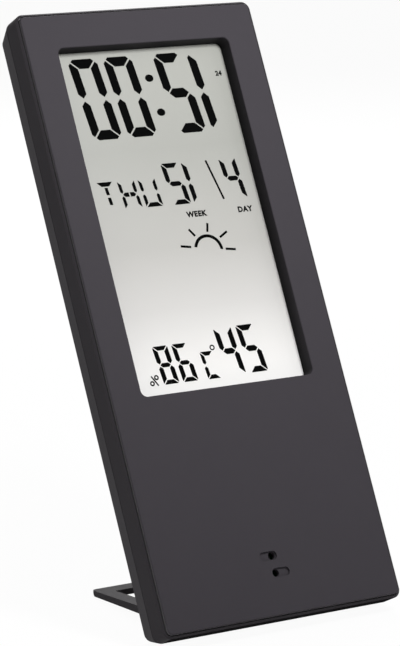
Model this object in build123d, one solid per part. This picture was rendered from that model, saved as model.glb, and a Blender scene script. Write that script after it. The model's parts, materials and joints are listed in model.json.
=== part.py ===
from build123d import *
from math import asin, atan2, cos, degrees, hypot, radians, sin
import os

# Leaning desk clock. Every piece but the leg is drawn upright: X across the face, Y the depth behind the
# panel's front, Z up the face from the case's lower edge. Then the whole body leans back on its leg.
# All lengths are millimetres and all angles are degrees.

# Case
case_width = 60.6
case_height = 140.0
case_corner = 2.0
case_lean = 26.7
parting_share = 0.5
rear_inset = 1.3
wall = 1.4
rear_wall = 1.4
inner_corner = 0.8
rim_chamfer = 0.4
seam_chamfer = 0.15
lap_width = 0.7
lap_height = 0.9
lap_gap = 0.05
foot_land = 0.12
overrun = 1.0

# Front panel
panel_inset = 0.8
panel_gap = 0.3
panel_proud = 0.55
panel_thick = 1.5
panel_corner = 1.2
panel_edge = 0.3
front_wall = 1.0
peg_radius = 1.0
peg_gap = 0.05
peg_margin = 4.3
peg_height_shares = (0.2, 0.5, 0.8)

# Display window and the stack behind it
window_bottom = 51.9
window_head = 8.5
window_corner = 1.5
window_depth = 4.04
skirt_wall = 1.0
skirt_gap = 0.1
film_margin = 1.1
film_thick = 0.2
glass_margin = 1.3
glass_thick = 0.7
glass_ledge = 2.5
glass_gap = 0.15
strip_thick = 1.6
strip_margin = 1.0
strip_gap = 0.2
holder_side = 0.8
holder_bar = 3.0
lip_reach = 0.5

# Circuit board and what it carries
board_stand = 1.06
board_thick = 0.8
board_bottom = 3.4
board_gap = 0.3
board_corner = 1.0
board_screw_inset = 5.3
board_screw_radius = 0.7
board_head_radius = 1.3
board_head_thick = 0.8
board_screw_length = 3.0
post_radius = 1.5
post_inset = 4.6
post_height = 6.0
rib_thick = 1.0
rib_inset = 3.6
rib_height_shares = (0.44, 0.71)
chip_radius = 5.0
chip_dome = 1.2
chip_height_share = 0.607
crystal_radius = 0.75
crystal_length = 6.0
crystal_across = 11.0
block_length = 1.6
block_width = 0.8
block_height = 0.8
block_count = 6
block_pitch = 3.2
block_row_share = 0.529

# Sensor vents and the sensor board behind them
vent_height = 11.8
vent_spacing = 3.8
vent_radius = 0.85
vent_pocket_length = 4.4
vent_pocket_width = 2.0
vent_pocket_depth = 0.5
vent_pocket_offset = 1.1
vent_slot_width = 3.0
shroud_width = 6.0
shroud_height = 9.0
shroud_wall = 0.8
shroud_depth = 1.9
sensor_board_width = 16.0
sensor_board_reach = 6.2
humidity_size = 2.5
humidity_thick = 0.9
thermistor_length = 1.6
thermistor_width = 0.8
pin_size = 0.5
pin_pitch = 2.0
pin_count = 4
pin_inset = 1.4
pin_margin = 2.4

# Coin cell, its well, contacts and door
cell_radius = 10.0
cell_thick = 3.2
cell_cover = 1.6
cell_crimp = 0.8
cell_step = 0.4
cell_gap = 0.15
well_step = 0.2
well_wall = 0.8
contact_thick = 0.2
contact_width = 4.0
contact_tab = 2.4
spring_bearing = 3.0
spring_rise = 0.5
clip_reach = 1.1
door_radius = 12.2
door_thick = 0.8
door_gap = 0.1
door_edge = 0.2
door_skirt = 0.65
door_hub_radius = 6.0
lug_reach = 0.7
lug_thick = 0.45
lug_angle = 30.0
lug_count = 3
door_turn = 40.0
lug_play_angle = 3.0
ledge_thick = 0.55
coin_slot_length = 15.0
coin_slot_width = 1.8
coin_slot_depth = 0.5

# Stand leg, folded into its trough behind the case
leg_side = 8.96
leg_clearance = 15.35
leg_nose = 1.5
leg_root_half = 1.03
leg_tip_half = 0.63
leg_corner = 1.4
leg_side_bar_share = 0.41
leg_end_bar_share = 0.381
leg_hinge_bar_share = 0.251
hinge_height = 4.3
hinge_inset = 1.1
pin_radius = 0.7
pin_length = 1.5
pin_gap = 0.05
trough_side_gap = 0.4
trough_end_gap = 0.5
trough_floor_gap = 0.15
trough_room = 0.22
trough_wall = 0.9
hinge_block = 2.3

# Buttons in the back and the switches under them
button_space = 5.0
button_width = 3.0
button_proud = 0.45
button_edge = 0.3
button_gap = 0.1
button_travel = 0.3
button_side = 12.3
button_drop = 28.0
button_names = ("mode", "up", "down", "unit")
flange_margin = 0.8
flange_thick = 0.6
switch_size = 4.5
switch_thick = 0.9
switch_floor = 0.2
plunger_radius = 0.9
plunger_gap = 0.1
plunger_play = 0.05

# Housing screws
screw_inset = 3.8
screw_low = 8.0
screw_drop = 9.0
screw_radius = 0.9
screw_head_radius = 1.7
screw_head_thick = 1.1
screw_head_sink = 0.1
screw_end_depth = 4.0
screw_end_gap = 0.4
screw_bore_gap = 0.02
screw_hole_gap = 0.2
cross_length = 2.2
cross_width = 0.45
cross_depth = 0.5
boss_wall = 0.9
boss_room = 0.425
boss_rise = 0.1
rear_boss_wall = 0.7

# Depths and places that follow from the sizes above
inside_front = panel_thick + front_wall
film_back = window_depth + film_thick
front_glass_back = film_back + glass_thick
rear_glass_back = front_glass_back + glass_thick
reflector_back = rear_glass_back + film_thick
board_front = reflector_back + board_stand
board_back = board_front + board_thick
boss_top = board_front + boss_rise
hinge_depth = board_back + trough_room + trough_wall + trough_floor_gap + leg_root_half
case_depth = hinge_depth + hinge_inset
parting_depth = parting_share * case_depth
inside_back = case_depth - rear_wall
screw_across = case_width / 2 - screw_inset
screw_high = case_height - screw_drop
glass_width = 2 * (screw_across - screw_radius - boss_wall - boss_room - holder_side - glass_gap)
window_width = glass_width - 2 * glass_margin
window_top = case_height - window_head
rear_glass_bottom = window_bottom - glass_margin
front_glass_bottom = rear_glass_bottom - glass_ledge
glass_top = window_top + glass_margin
rear_boss_radius = screw_head_radius + screw_hole_gap + rear_boss_wall
board_width = 2 * (screw_across - rear_boss_radius - board_gap)
board_top = glass_top + glass_gap + holder_bar
post_across = board_width / 2 - post_inset
rib_width = board_width - 2 * rib_inset
chip_height = chip_height_share * case_height
block_row = block_row_share * case_height
button_row = case_height - button_drop
button_pitch = (case_width - 2 * button_side) / (len(button_names) - 1)
button_length = button_pitch - button_space
leg_width = case_width - 2 * leg_side
leg_length = window_bottom - leg_clearance
leg_side_room = leg_width / 2 - door_radius - door_gap
leg_end_room = leg_length - 2 * (door_radius + door_gap)
leg_side_bar = leg_side_bar_share * leg_side_room
leg_end_bar = leg_end_bar_share * leg_end_room
leg_hinge_bar = leg_hinge_bar_share * leg_end_room
trough_floor = hinge_depth - leg_root_half - trough_floor_gap
trough_bottom = hinge_height - leg_root_half - trough_side_gap
trough_top = hinge_height + leg_length + trough_end_gap
trough_width = leg_width + 2 * trough_side_gap
island_width = leg_width - 2 * leg_side_bar - 2 * trough_side_gap
island_bottom = hinge_height + leg_hinge_bar + trough_end_gap
island_top = hinge_height + leg_length - leg_end_bar - trough_end_gap
cell_height = (island_bottom + island_top) / 2
cell_back = case_depth - cell_cover
cell_front = cell_back - cell_thick
well_front = cell_front + well_step
door_front = case_depth - door_thick
ledge_front = door_front - ledge_thick
lug_front = ledge_front - door_gap - lug_thick
well_radius = cell_radius + cell_gap
door_skirt_outer = well_radius + door_skirt
groove_radius = door_skirt_outer + lug_reach + door_gap
board_hole_radius = groove_radius + well_wall + board_gap
pin_row = cell_height - groove_radius - well_wall - pin_margin
button_back = case_depth + button_proud
switch_back = board_back + switch_thick
flange_front = inside_back - flange_thick


def facing(depth):
    """Drawing plane parallel to the clock's face, at a depth behind the panel's front."""
    return Plane(origin=(0, depth, 0), x_dir=(1, 0, 0), z_dir=(0, -1, 0))


def plate(outline, front, back):
    """Solid of an outline of the face, between two depths."""
    return extrude(facing(back) * outline, back - front)


def case_outline(inset, corner):
    """Outline of the case, drawn in by an even inset."""
    size = (case_width - 2 * inset, case_height - 2 * inset)
    return Pos(0, case_height / 2) * RectangleRounded(*size, corner)


def window_outline(margin, bottom=window_bottom, corner=0):
    """Outline of the display window, grown by a margin, with a bottom edge of its own if given."""
    width = window_width + 2 * margin
    low = bottom - margin
    high = window_top + margin
    centre = Pos(0, (low + high) / 2)
    if corner:
        return centre * RectangleRounded(width, high - low, corner)
    return centre * Rectangle(width, high - low)


def band(width, low, high):
    """Upright rectangle about the centre line, between two heights."""
    return Pos(0, (low + high) / 2) * Rectangle(width, high - low)


def edges_at(solid, depth_first):
    """Edges of the solid's frontmost face, or of its rearmost face."""
    faces = solid.faces().sort_by(Axis.Y)
    return (faces[0] if depth_first else faces[-1]).edges()


def housing_screw_places():
    """Places of the four housing screws on the face."""
    return [(side * screw_across, height) for side in (-1, 1) for height in (screw_low, screw_high)]


def board_screw_places():
    """Places of the four board screws, in the bars of the display holder."""
    across = glass_width / 2 - board_screw_inset
    low = front_glass_bottom - glass_gap - holder_bar / 2
    high = glass_top + glass_gap + holder_bar / 2
    return [(side * across, height) for side in (-1, 1) for height in (low, high)]


def peg_places():
    """Places of the pegs that locate the panel on the case."""
    across = case_width / 2 - peg_margin
    return [(side * across, share * case_height) for side in (-1, 1) for share in peg_height_shares]


def at_places(places, outline):
    """One outline repeated at a list of places."""
    return [Pos(*place) * outline for place in places]


def plates(places, outline, front, back):
    """Solids of one outline repeated at a list of places."""
    return [plate(one, front, back) for one in at_places(places, outline)]


def make_front_panel():
    """Face with the display window, its deep skirt, the locating pegs and the two sensor vents."""
    panel = plate(case_outline(panel_inset, panel_corner), 0, panel_thick)
    panel += plate(window_outline(skirt_wall, corner=window_corner), panel_thick, window_depth)
    panel -= plate(window_outline(0, corner=window_corner), 0, window_depth)
    panel = fillet(edges_at(panel, True), panel_edge)
    panel += plates(peg_places(), Circle(peg_radius), panel_thick, inside_front)
    for side in (-1, 1):
        height = vent_height - side * vent_spacing / 2
        hole = Pos(0, height) * Circle(vent_radius)
        pocket = Pos(side * vent_pocket_offset, height) * SlotOverall(vent_pocket_length, vent_pocket_width)
        panel -= plate(hole, 0, panel_thick)
        panel -= plate(pocket, 0, vent_pocket_depth)
    return panel


def make_front_case():
    """Front half of the housing: rim, panel seat, side walls, screw bosses and sensor shroud."""
    case = plate(case_outline(0, case_corner), panel_proud, parting_depth)
    case = chamfer(edges_at(case, True), rim_chamfer)
    case = chamfer(edges_at(case, False), seam_chamfer)
    seat_inset = panel_inset - panel_gap
    case -= plate(case_outline(seat_inset, panel_corner + panel_gap), panel_proud, panel_thick)
    case -= plate(case_outline(wall, inner_corner), inside_front, parting_depth)
    lap_front = parting_depth - lap_height - lap_gap
    case -= plate(case_outline(wall - lap_width, inner_corner + lap_width), lap_front, parting_depth)
    case -= plate(window_outline(skirt_wall + skirt_gap, corner=window_corner), panel_thick, inside_front)
    case += plates(housing_screw_places(), Circle(screw_radius + boss_wall), inside_front, boss_top)
    case += plates([(-post_across, post_height), (post_across, post_height)], Circle(post_radius),
                   inside_front, board_front)
    shroud_place = Pos(0, vent_height)
    shroud = Rectangle(shroud_width + 2 * shroud_wall, shroud_height + 2 * shroud_wall)
    case += plate(shroud_place * shroud, inside_front, inside_front + shroud_depth)
    case -= plate(shroud_place * Rectangle(shroud_width, shroud_height), inside_front,
                  inside_front + shroud_depth)
    slot = SlotOverall(vent_spacing + vent_slot_width, vent_slot_width, rotation=90)
    case -= plate(shroud_place * slot, panel_thick, inside_front)
    case -= plates(peg_places(), Circle(peg_radius + peg_gap), panel_thick, inside_front)
    case -= plates(housing_screw_places(), Circle(screw_radius + screw_bore_gap),
                   screw_end_depth - screw_end_gap, boss_top)
    return case


def rear_form(stations, corner):
    """Tapered block on the draft of the rear cover, through stations of a depth and an inset."""
    sections = []
    for depth, inset in stations:
        draft = rear_inset * (depth - parting_depth) / (case_depth - parting_depth)
        sections.append(facing(depth) * case_outline(inset + draft, corner))
    return loft(sections, ruled=True)


def lug_sectors(turn, half_angle, reach):
    """Wedges about the cell's centre, one for each door lug, turned by an angle."""
    wedges = []
    for index in range(lug_count):
        middle = turn + index * 360 / lug_count
        rim = [(reach * cos(radians(middle + side * half_angle)), reach * sin(radians(middle + side * half_angle)))
               for side in (-1, 1)]
        wedges.append(Polygon((0, 0), *rim, align=None))
    return wedges


def lug_ring(turn, play, inner, outer):
    """Parts of a ring that lie in the lug wedges."""
    half_angle = lug_angle / 2 + play
    pieces = Circle(outer) - Circle(inner)
    wedges = lug_sectors(turn, half_angle, 2 * outer)
    joined = wedges[0] + wedges[1:]
    return pieces & joined


def cut_battery_well(cover):
    """Open the well from the back: cell bore, door seat, lug groove and the notches that the lugs enter by."""
    centre = Pos(0, cell_height)
    seat_front = lug_front - door_gap
    cover -= plate(centre * Circle(well_radius), well_front, case_depth)
    cover -= plate(centre * Circle(door_skirt_outer + door_gap), seat_front, case_depth)
    cover -= plate(centre * Circle(groove_radius), seat_front, ledge_front)
    cover -= plate(centre * Circle(door_radius + door_gap), door_front, case_depth)
    notches = lug_ring(-door_turn, lug_play_angle, door_skirt_outer, groove_radius)
    cover -= plate(centre * notches, ledge_front, door_front)
    slot = Pos(groove_radius, cell_height) * Rectangle(2 * (groove_radius - cell_radius), contact_width
                                                       + 2 * board_gap)
    cover -= plate(slot, board_back - board_gap, seat_front)
    return cover


def make_rear_cover():
    """Tapered rear shell with the leg's trough round its island, the battery well and the button holes."""
    seam = (parting_depth, seam_chamfer)
    cover = rear_form([seam, (parting_depth + seam_chamfer, 0), (case_depth, 0)], case_corner)
    cover -= rear_form([(parting_depth, wall), (inside_back, wall)], inner_corner)
    lap = case_outline(wall - lap_width + lap_gap, inner_corner + lap_width) - case_outline(wall, inner_corner)
    cover += plate(lap, parting_depth - lap_height, parting_depth)
    trough_front = trough_floor - trough_wall
    block = band(trough_width + 2 * trough_wall, trough_bottom - trough_wall, trough_top + trough_wall)
    cover += plate(block, trough_front, inside_back)
    core = band(island_width - 2 * trough_wall, island_bottom + trough_wall, island_top - trough_wall)
    cover -= plate(core, trough_front, inside_back)
    cover += plate(Pos(0, cell_height) * Circle(groove_radius + well_wall), well_front, inside_back)
    hinge_low = hinge_height - leg_root_half - trough_wall
    hinge_high = hinge_height + leg_root_half + trough_wall
    hinge_blocks = band(trough_width + 2 * hinge_block, hinge_low, hinge_high)
    cover += plate(hinge_blocks, trough_front, inside_back)
    cover -= plate(band(trough_width, trough_bottom, trough_top)
                   - band(island_width, island_bottom, island_top), trough_floor, case_depth)
    cover = cut_battery_well(cover)
    bore_length = trough_width + 2 * (pin_length - trough_side_gap + pin_gap)
    cover -= Pos(0, hinge_depth, hinge_height) * Cylinder(pin_radius + pin_gap, bore_length, rotation=(0, 90, 0))
    cover += plates(housing_screw_places(), Circle(rear_boss_radius), boss_top, inside_back)
    head_radius = screw_head_radius + screw_hole_gap
    seat = case_depth - screw_head_sink - screw_head_thick
    cover -= plates(housing_screw_places(), Circle(head_radius), seat, case_depth)
    cover -= plates(housing_screw_places(), Circle(screw_radius + screw_hole_gap), boss_top, seat)
    ribs = [band(rib_width, share * case_height - rib_thick / 2, share * case_height + rib_thick / 2)
            for share in rib_height_shares]
    cover += [plate(rib, board_back, inside_back) for rib in ribs]
    holes = SlotOverall(button_length + 2 * button_gap, button_width + 2 * button_gap)
    cover -= plates(button_places(), holes, inside_back, case_depth)
    return cover


def make_stand_leg():
    """Tapered leg frame with a rectangular window, a slanted free end and a pin at each side."""
    profile = Polygon(
        (0, leg_root_half),
        (leg_length, leg_tip_half),
        (leg_length - leg_nose, -leg_tip_half),
        (0, -leg_root_half),
        align=None,
    )
    leg = extrude(Plane.YZ * profile, leg_width / 2, both=True)
    leg += Cylinder(leg_root_half, leg_width, rotation=(0, 90, 0))
    behind = leg_corner + leg_root_half
    plan = Pos(0, (leg_length - behind) / 2) * RectangleRounded(leg_width, leg_length + behind, leg_corner)
    leg &= extrude(plan, 2 * leg_root_half, both=True)
    gap_end = leg_length - leg_end_bar
    gap = Pos(0, (leg_hinge_bar + gap_end) / 2) * Rectangle(leg_width - 2 * leg_side_bar, gap_end - leg_hinge_bar)
    leg -= extrude(gap, 2 * leg_root_half, both=True)
    leg += Cylinder(pin_radius, leg_width + 2 * pin_length, rotation=(0, 90, 0))
    return leg


def make_display_holder():
    """Frame round the glass, with a lip behind it and a slot for the contact strip."""
    inner = band(glass_width + 2 * glass_gap, front_glass_bottom - glass_gap, glass_top + glass_gap)
    outer = band(glass_width + 2 * glass_gap + 2 * holder_side, front_glass_bottom - glass_gap - holder_bar,
                 board_top)
    holder = plate(outer - inner, inside_front, board_front)
    holder += plate(inner - window_outline(-lip_reach), reflector_back, board_front)
    strip_low = front_glass_bottom + (glass_ledge - strip_thick) / 2
    slot = band(window_width - 2 * strip_margin + 2 * strip_gap, strip_low - strip_gap,
                strip_low + strip_thick + strip_gap)
    holder -= plate(slot, reflector_back, board_front)
    bore = Circle(board_screw_radius + screw_bore_gap)
    holder -= plates(board_screw_places(), bore, board_back - board_screw_length - screw_end_gap, board_front)
    return holder


def make_contact_strip():
    """Rubber strip between the glass ledge and the board."""
    low = front_glass_bottom + (glass_ledge - strip_thick) / 2
    strip = band(window_width - 2 * strip_margin, low, low + strip_thick)
    return plate(strip, front_glass_back, board_front)


def make_main_board():
    """Circuit board with the hole that the battery well passes through."""
    height = board_top - board_bottom
    outline = Pos(0, board_bottom + height / 2) * RectangleRounded(board_width, height, board_corner)
    outline -= Pos(0, cell_height) * Circle(board_hole_radius)
    board = plate(outline, board_front, board_back)
    return board - plates(board_screw_places(), Circle(board_screw_radius + screw_hole_gap),
                          board_front, board_back)


def make_controller_chip():
    """Low resin dome over the chip."""
    ball = (chip_radius ** 2 + chip_dome ** 2) / (2 * chip_dome)
    dome = Pos(0, board_back + chip_dome - ball, chip_height) * Sphere(ball)
    return dome & plate(Pos(0, chip_height) * Circle(chip_radius), board_back, board_back + chip_dome)


def make_clock_crystal():
    """Small can that lies on the board."""
    place = Pos(crystal_across, board_back + crystal_radius, chip_height)
    return place * Cylinder(crystal_radius, crystal_length, rotation=(0, 90, 0))


def make_board_capacitors():
    """Row of small blocks on the board."""
    start = -(block_count - 1) * block_pitch / 2
    places = [(start + index * block_pitch, block_row) for index in range(block_count)]
    return plates(places, Rectangle(block_length, block_width), board_back, board_back + block_height)


def sensor_front():
    """Depth of the sensor board's front face, where the shroud ends."""
    return inside_front + shroud_depth


def make_sensor_board():
    """Small board that closes the sensor shroud."""
    outline = band(sensor_board_width, pin_row - pin_inset, vent_height + sensor_board_reach)
    return plate(outline, sensor_front(), sensor_front() + board_thick)


def make_humidity_sensor():
    """Sensor block behind the upper vent."""
    outline = Pos(0, vent_height + vent_spacing / 2) * Rectangle(humidity_size, humidity_size)
    return plate(outline, sensor_front() - humidity_thick, sensor_front())


def make_temperature_sensor():
    """Bead block behind the lower vent."""
    outline = Pos(0, vent_height - vent_spacing / 2) * Rectangle(thermistor_length, thermistor_width)
    return plate(outline, sensor_front() - thermistor_width, sensor_front())


def make_sensor_pins():
    """Pins from the sensor board to the main board."""
    start = -(pin_count - 1) * pin_pitch / 2
    places = [(start + index * pin_pitch, pin_row) for index in range(pin_count)]
    return plates(places, Rectangle(pin_size, pin_size), sensor_front() + board_thick, board_front)


def make_coin_cell():
    """Coin cell with its smaller negative cap towards the front."""
    centre = Pos(0, cell_height)
    can = plate(centre * Circle(cell_radius), cell_front + cell_step, cell_back)
    can = fillet(edges_at(can, False), cell_step / 2)
    return can + plate(centre * Circle(cell_radius - cell_crimp), cell_front, cell_front + cell_step)


def bent_strip(points, low):
    """Metal strip of the contacts' width, bent along a line of points across and in depth."""
    line = Polyline(*points)
    return extrude(Pos(0, 0, low) * trace(line, contact_thick), contact_width)


def make_battery_spring():
    """Negative contact: a bridge across the board's hole, pressed to bear on the cell's cap."""
    tab = board_front - contact_thick / 2
    bearing = cell_front - contact_thick / 2
    edge = board_hole_radius + board_gap
    bend = spring_bearing + spring_rise
    half = [(spring_bearing, bearing), (bend, bearing - spring_rise),
            (edge - spring_rise, bearing - spring_rise), (edge, tab), (edge + contact_tab, tab)]
    left = [(-across, depth) for across, depth in reversed(half)]
    return bent_strip(left + half, cell_height - contact_width / 2)


def make_battery_clip():
    """Positive contact: a finger on the cell's rim, with its tab on the board."""
    finger = cell_radius + contact_thick / 2
    tab = board_back + contact_thick / 2
    points = [(finger, tab + clip_reach), (finger, tab), (board_hole_radius + contact_tab, tab)]
    return bent_strip(points, cell_height - contact_width / 2)


def make_battery_door():
    """Round door with a coin slot, a skirt with bayonet lugs and a hub that bears on the cell."""
    centre = Pos(0, cell_height)
    door = plate(centre * Circle(door_radius), door_front, case_depth)
    door = fillet(edges_at(door, False), door_edge)
    skirt = Circle(door_skirt_outer) - Circle(well_radius)
    door += plate(centre * skirt, lug_front, door_front)
    lugs = lug_ring(0, 0, well_radius, door_skirt_outer + lug_reach)
    door += plate(centre * lugs, lug_front, lug_front + lug_thick)
    door += plate(centre * Circle(door_hub_radius), cell_back, door_front)
    slot = SlotOverall(coin_slot_length, coin_slot_width)
    return door - plate(centre * slot, case_depth - coin_slot_depth, case_depth)


def button_places():
    """Places of the button row on the back."""
    start = -(len(button_names) - 1) * button_pitch / 2
    return [(start + index * button_pitch, button_row) for index in range(len(button_names))]


def make_button(place):
    """Pill button with a flange that keeps it in the cover."""
    cap = plate(Pos(*place) * SlotOverall(button_length, button_width), inside_back, button_back)
    cap = fillet(edges_at(cap, False), button_edge)
    flange = SlotOverall(button_length + 2 * flange_margin, button_width + 2 * flange_margin)
    return cap + plate(Pos(*place) * flange, flange_front, inside_back)


def make_plunger(place):
    """Switch plunger that the button bears on."""
    low = board_back + switch_floor + button_travel + plunger_play
    return plate(Pos(*place) * Circle(plunger_radius), low, flange_front)


def make_tact_switches():
    """Switch bodies under the buttons, each with its plunger bore."""
    bodies = []
    for place in button_places():
        body = plate(Pos(*place) * Rectangle(switch_size, switch_size), board_back, switch_back)
        bore = Pos(*place) * Circle(plunger_radius + plunger_gap)
        bodies.append(body - plate(bore, board_back + switch_floor, switch_back))
    return bodies


def screw(place, radius, head_radius, head_thick, seat, tip):
    """Screw seen from the back: head, shank and cross recess."""
    back = seat + head_thick
    head = plate(Pos(*place) * Circle(head_radius), seat, back)
    head = fillet(edges_at(head, False), head_thick / 3)
    share = head_radius / screw_head_radius
    for angle in (0, 90):
        bar = Rectangle(share * cross_length, share * cross_width, rotation=angle)
        head -= plate(Pos(*place) * bar, back - cross_depth, back)
    return head + plate(Pos(*place) * Circle(radius), tip, seat)


def make_housing_screws():
    """Screws that hold the two halves of the housing."""
    seat = case_depth - screw_head_sink - screw_head_thick
    return [screw(place, screw_radius, screw_head_radius, screw_head_thick, seat, screw_end_depth)
            for place in housing_screw_places()]


def make_board_screws():
    """Screws that hold the board on the display holder."""
    tip = board_back - board_screw_length
    return [screw(place, board_screw_radius, board_head_radius, board_head_thick, board_back, tip)
            for place in board_screw_places()]


def upright_pieces():
    """All pieces of the leaning body, still upright."""
    pieces = {
        "front_panel": make_front_panel(),
        "front_case": make_front_case(),
        "rear_cover": make_rear_cover(),
        "display_polarizer": plate(window_outline(film_margin), window_depth, film_back),
        "lcd_front_glass": plate(band(glass_width, front_glass_bottom, glass_top), film_back, front_glass_back),
        "lcd_rear_glass": plate(window_outline(glass_margin), front_glass_back, rear_glass_back),
        "display_reflector": plate(window_outline(film_margin), rear_glass_back, reflector_back),
        "display_holder": make_display_holder(),
        "contact_strip": make_contact_strip(),
        "main_board": make_main_board(),
        "controller_chip": make_controller_chip(),
        "clock_crystal": make_clock_crystal(),
        "board_capacitors": make_board_capacitors(),
        "sensor_board": make_sensor_board(),
        "humidity_sensor": make_humidity_sensor(),
        "temperature_sensor": make_temperature_sensor(),
        "sensor_pins": make_sensor_pins(),
        "coin_cell": make_coin_cell(),
        "battery_spring": make_battery_spring(),
        "battery_clip": make_battery_clip(),
        "battery_door": make_battery_door(),
        "tact_switches": make_tact_switches(),
        "housing_screws": make_housing_screws(),
        "board_screws": make_board_screws(),
    }
    for name, place in zip(button_names, button_places()):
        pieces[name + "_button"] = make_button(place)
        pieces[name + "_plunger"] = make_plunger(place)
    return pieces


def solids_of(piece):
    """The separate solids of a piece or of a group of pieces."""
    group = piece if isinstance(piece, list) else [piece]
    return [solid for member in group for solid in member.solids()]


def leg_tilt(hinge):
    """Angle below the level at which the leg's tip meets the table."""
    reach = leg_length - leg_nose
    return degrees(asin(hinge / hypot(reach, leg_tip_half)) - atan2(leg_tip_half, reach))


def main():
    """Lean the body back, set it and the leg on the table, and write every piece."""
    lean = radians(case_lean)
    lift = case_depth * sin(lean) - rear_inset * cos(lean) - foot_land
    stand = Pos(0, 0, lift) * Rot(X=-case_lean)
    placed = {name: [stand * solid for solid in solids_of(piece)] for name, piece in upright_pieces().items()}
    hinge = (stand * Pos(0, hinge_depth, hinge_height)).position
    leg = Pos(*hinge) * Rot(X=-leg_tilt(hinge.Z)) * make_stand_leg()
    placed["stand_leg"] = solids_of(leg)
    table = Pos(0, case_height / 2) * Box(case_width, 2 * case_height, foot_land + overrun,
                                          align=(Align.CENTER, Align.CENTER, Align.MAX))
    placed["rear_cover"] = solids_of(placed["rear_cover"][0] - table)
    box = Compound([solid for solids in placed.values() for solid in solids]).bounding_box()
    centre = Pos(0, -(box.min.Y + box.max.Y) / 2, 0)
    for name, solids in placed.items():
        moved = [centre * solid for solid in solids]
        export_step(moved[0] if len(moved) == 1 else Compound(moved), f"parts/{name}.step")
    hinge_place = centre * Pos(*hinge)
    print("hinge", hinge_place.position, "leg tilt", leg_tilt(hinge.Z), "shift", centre.position)
    print("cell axis", (centre * stand * Pos(0, case_depth, cell_height)).position)


os.makedirs("parts", exist_ok=True)
main()
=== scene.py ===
import json
import logging
import math
from dataclasses import dataclass, field
from enum import Enum
from typing import Optional, Sequence, Union

import bpy
from mathutils import Matrix, Vector


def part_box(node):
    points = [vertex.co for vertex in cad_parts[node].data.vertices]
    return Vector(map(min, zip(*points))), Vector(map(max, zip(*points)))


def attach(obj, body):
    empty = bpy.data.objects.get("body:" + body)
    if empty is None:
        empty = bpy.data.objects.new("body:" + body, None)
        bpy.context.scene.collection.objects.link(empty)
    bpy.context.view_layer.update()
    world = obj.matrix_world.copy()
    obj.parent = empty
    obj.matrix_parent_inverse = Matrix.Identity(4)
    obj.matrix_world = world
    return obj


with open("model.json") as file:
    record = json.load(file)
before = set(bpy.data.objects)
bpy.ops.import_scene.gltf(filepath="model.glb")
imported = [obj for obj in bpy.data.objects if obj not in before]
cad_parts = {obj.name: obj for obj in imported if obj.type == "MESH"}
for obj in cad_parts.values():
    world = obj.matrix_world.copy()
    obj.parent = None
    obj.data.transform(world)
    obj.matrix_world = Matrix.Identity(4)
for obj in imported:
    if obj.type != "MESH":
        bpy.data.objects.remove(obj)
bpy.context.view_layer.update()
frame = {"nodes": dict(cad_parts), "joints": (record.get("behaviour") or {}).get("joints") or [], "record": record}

log = logging.getLogger("weather_clock")
MM = 0.001
HOUSING = "housing"

Operand = Union[float, "Value"]
Spot = tuple[float, float]
Point = tuple[float, float, float]
Colour = tuple[float, float, float]
Paint = tuple[float, float, float, float]

BLACK: Paint = (0.0, 0.0, 0.0, 1.0)
WHITE: Paint = (1.0, 1.0, 1.0, 1.0)


def paint(colour: Colour, share: float = 1.0) -> Paint:
    """A colour with full alpha.

    Args:
        colour: The colour.
        share: What each channel is multiplied by.

    Returns:
        The four channels.
    """
    return (*(channel * share for channel in colour), 1.0)


class Octaves(Enum):
    """How finely a noise is broken up."""

    SOFT = 2.0
    CRISP = 3.0


class Value:
    """A shader value that joins in Python sums and becomes Math nodes."""

    def __init__(self, shader: "Shader", socket: bpy.types.NodeSocket) -> None:
        """Wrap a socket of a shader.

        Args:
            shader: The shader that holds the socket.
            socket: The output socket.
        """
        self.shader = shader
        self.socket = socket

    def maths(self, operation: str, first: Operand, second: Optional[Operand] = None) -> "Value":
        """One Math node.

        Args:
            operation: The node's operation.
            first: Its first value.
            second: Its second value, where the operation takes one.

        Returns:
            The node's result.
        """
        sockets = {0: first} if second is None else {0: first, 1: second}
        return self.shader.add("ShaderNodeMath", {"operation": operation}, sockets)

    def __add__(self, other: Operand) -> "Value":
        """Sum with a number or Value."""
        return self.maths("ADD", self, other)

    def __radd__(self, other: float) -> "Value":
        """Sum with a number on the left."""
        return self.maths("ADD", other, self)

    def __sub__(self, other: Operand) -> "Value":
        """Difference from a number or Value."""
        return self.maths("SUBTRACT", self, other)

    def __rsub__(self, other: float) -> "Value":
        """Difference with a number on the left."""
        return self.maths("SUBTRACT", other, self)

    def __mul__(self, other: Operand) -> "Value":
        """Product with a number or Value."""
        return self.maths("MULTIPLY", self, other)

    def __truediv__(self, other: Operand) -> "Value":
        """Quotient by a number or Value."""
        return self.maths("DIVIDE", self, other)

    def __pow__(self, other: Operand) -> "Value":
        """Power of a number or Value."""
        return self.maths("POWER", self, other)

    def above(self, low: float) -> "Value":
        """One where this value is more than a number, and zero elsewhere."""
        return self.maths("GREATER_THAN", self, low)

    def below(self, high: float) -> "Value":
        """One where this value is less than a number, and zero elsewhere."""
        return self.maths("LESS_THAN", self, high)

    def between(self, low: float, high: float) -> "Value":
        """One where this value lies between two numbers, and zero elsewhere."""
        return self.above(low) * self.below(high)

    def past(self, start: float) -> "Value":
        """How far this value's size, without its sign, lies past a number, or zero."""
        return self.maths("MAXIMUM", self.maths("ABSOLUTE", self) - start, 0.0)

    def clamped(self) -> "Value":
        """This value held between 0 and 1."""
        return self.maths("MINIMUM", self.maths("MAXIMUM", self, 0.0), 1.0)

    def swing(self, width: float) -> "Value":
        """This value, which runs from 0 to 1, made to swing that wide about zero."""
        return (self - 0.5) * width


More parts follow.
